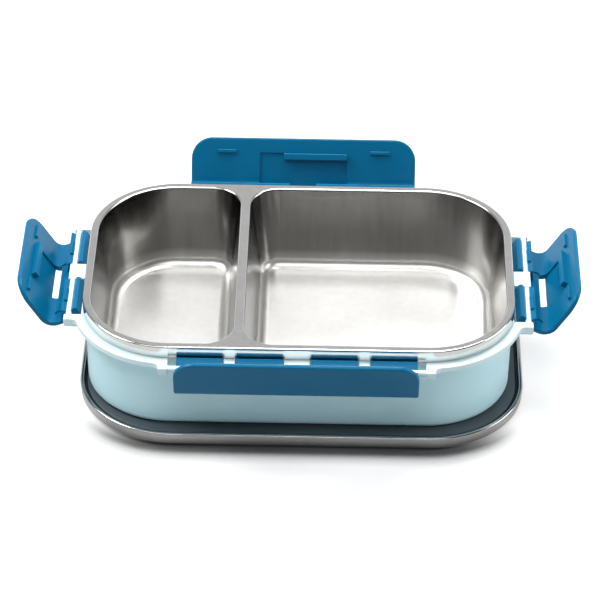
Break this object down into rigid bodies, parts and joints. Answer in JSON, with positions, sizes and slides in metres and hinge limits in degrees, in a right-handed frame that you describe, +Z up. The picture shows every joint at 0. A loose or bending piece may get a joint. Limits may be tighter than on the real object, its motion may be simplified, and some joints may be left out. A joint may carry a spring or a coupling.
{
  "type": "lunch box",
  "caption": "Shallow lunch box: plastic shell, lift-out divided steel tray, hinged latch flaps standing open, and a lined steel lid set upside down underneath.",
  "frame": {"origin": "centre of the lid's flat outer face, where the lid lies on the table", "axes": "+X to the right along the long sides, +Y to the back, +Z up"},
  "size_m": [0.2609, 0.1895, 0.0622],
  "materials": {
    "lid_steel": "fine satin",
    "lining_plastic": "matte",
    "gasket_silicone": "matte",
    "shell_plastic": "semi-gloss",
    "tray_steel": "satin, polished rim",
    "flap_plastic": "semi-gloss"
  },
  "bodies": {
    "lid": {"lid_cover": "lid_steel", "lid_lining": "lining_plastic", "lid_gasket": "gasket_silicone"},
    "box": {"outer_shell": "shell_plastic"},
    "tray": {"steel_tray": "tray_steel"},
    "front_latch": {"front_flap": "flap_plastic"},
    "back_latch": {"back_flap": "flap_plastic"},
    "left_latch": {"left_flap": "flap_plastic"},
    "right_latch": {"right_flap": "flap_plastic"}
  },
  "joints": [
    {"name": "box_lift", "type": "slide", "parent": "lid", "child": "box", "axis": [0, 0, 1], "range_m": [0, 0.08]},
    {"name": "tray_lift", "type": "slide", "parent": "box", "child": "tray", "axis": [0, 0, 1], "range_m": [0, 0.075]},
    {"name": "front_hinge", "type": "hinge", "parent": "box", "child": "front_latch", "pos_m": [-0.00165, -0.0689, 0.0438], "axis": [-1, 0, 0], "range_deg": [-11.7, 86.3]},
    {"name": "back_hinge", "type": "hinge", "parent": "box", "child": "back_latch", "pos_m": [-0.00165, 0.0767, 0.0438], "axis": [1, 0, 0], "range_deg": [-6, 92]},
    {"name": "left_hinge", "type": "hinge", "parent": "box", "child": "left_latch", "pos_m": [-0.10785, 0.0039, 0.0438], "axis": [0, 1, 0], "range_deg": [0, 98]},
    {"name": "right_hinge", "type": "hinge", "parent": "box", "child": "right_latch", "pos_m": [0.10455, 0.0039, 0.0438], "axis": [0, -1, 0], "range_deg": [0, 98]}
  ]
}
